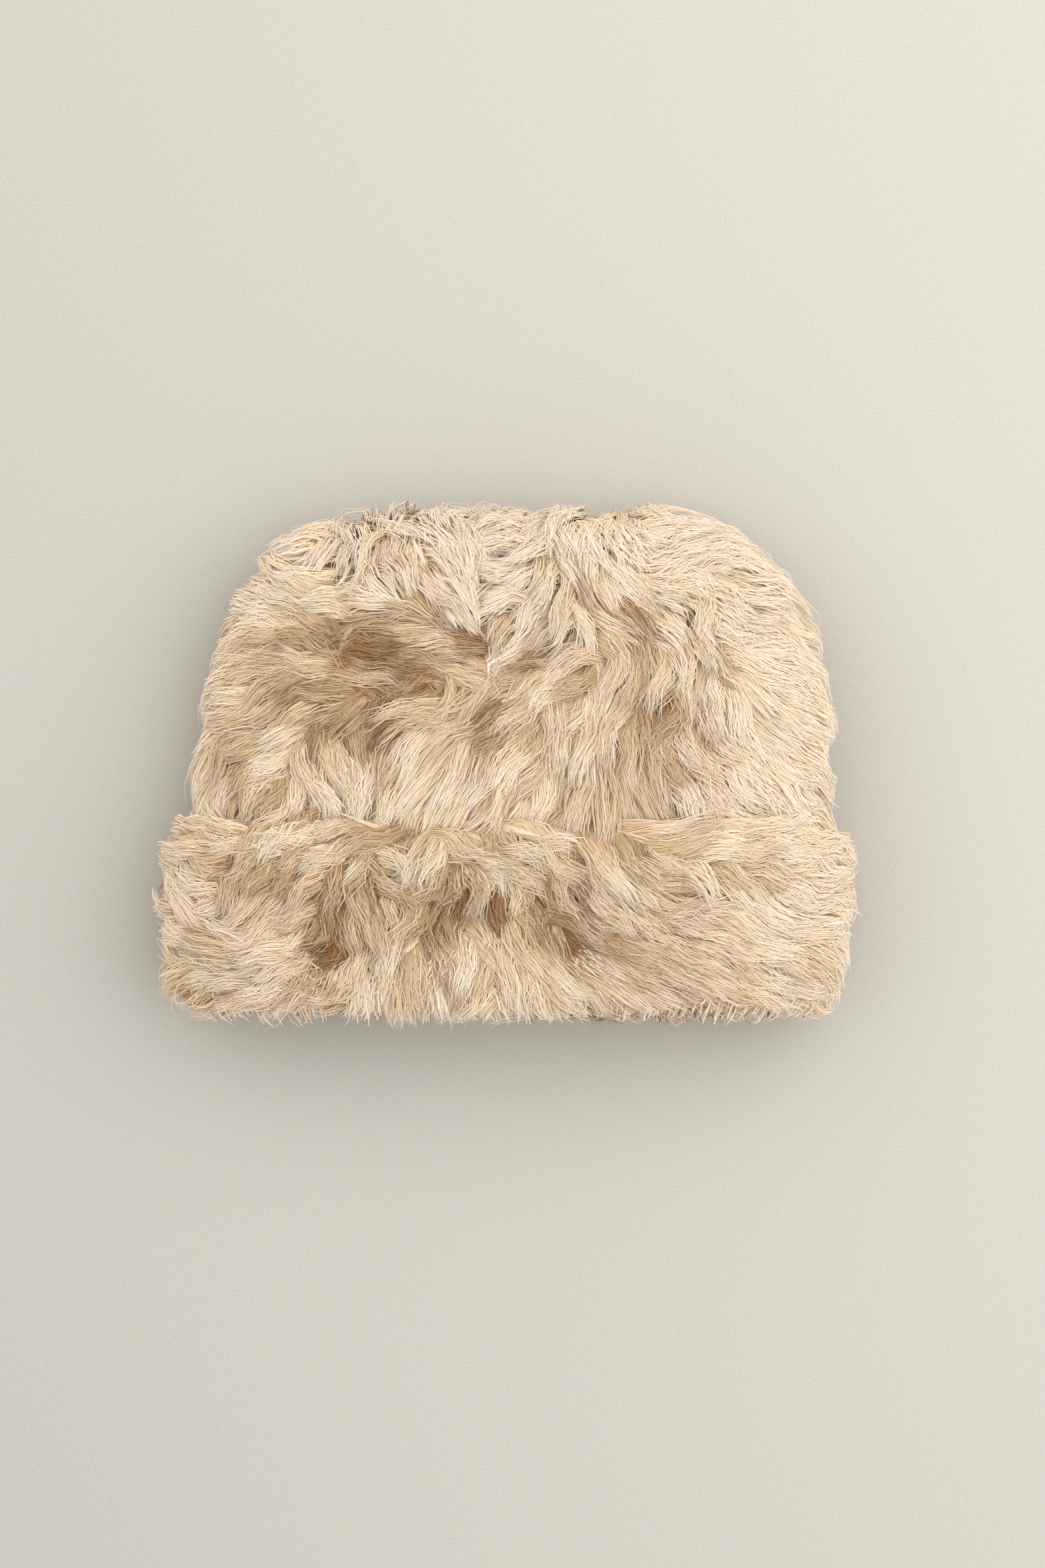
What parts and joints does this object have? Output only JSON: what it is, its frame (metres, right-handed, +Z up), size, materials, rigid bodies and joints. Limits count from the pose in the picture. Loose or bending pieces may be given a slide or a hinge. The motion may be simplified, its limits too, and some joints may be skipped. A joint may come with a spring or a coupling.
{
  "type": "lambskin hat",
  "caption": "Soft fur hat with a deep crown and a turned-up fur cuff, lying on its back, its mouth open for a head",
  "frame": {"origin": "centre of the underside of the hat as it lies on its back on a level surface", "axes": "+X across the hat to the picture's right, +Y from the mouth to the top of the crown, +Z up"},
  "size_m": [0.3174, 0.2266, 0.0856],
  "materials": {
    "wool": "long wavy lamb's wool in cream and beige, soft sheen on the tips and darker between the locks",
    "skin": "matt suede, the flesh side of the lambskin"
  },
  "bodies": {
    "root": {"crown_skin": "skin", "crown_wool": "wool", "cuff_skin": "skin", "cuff_wool": "wool"}
  },
  "joints": []
}
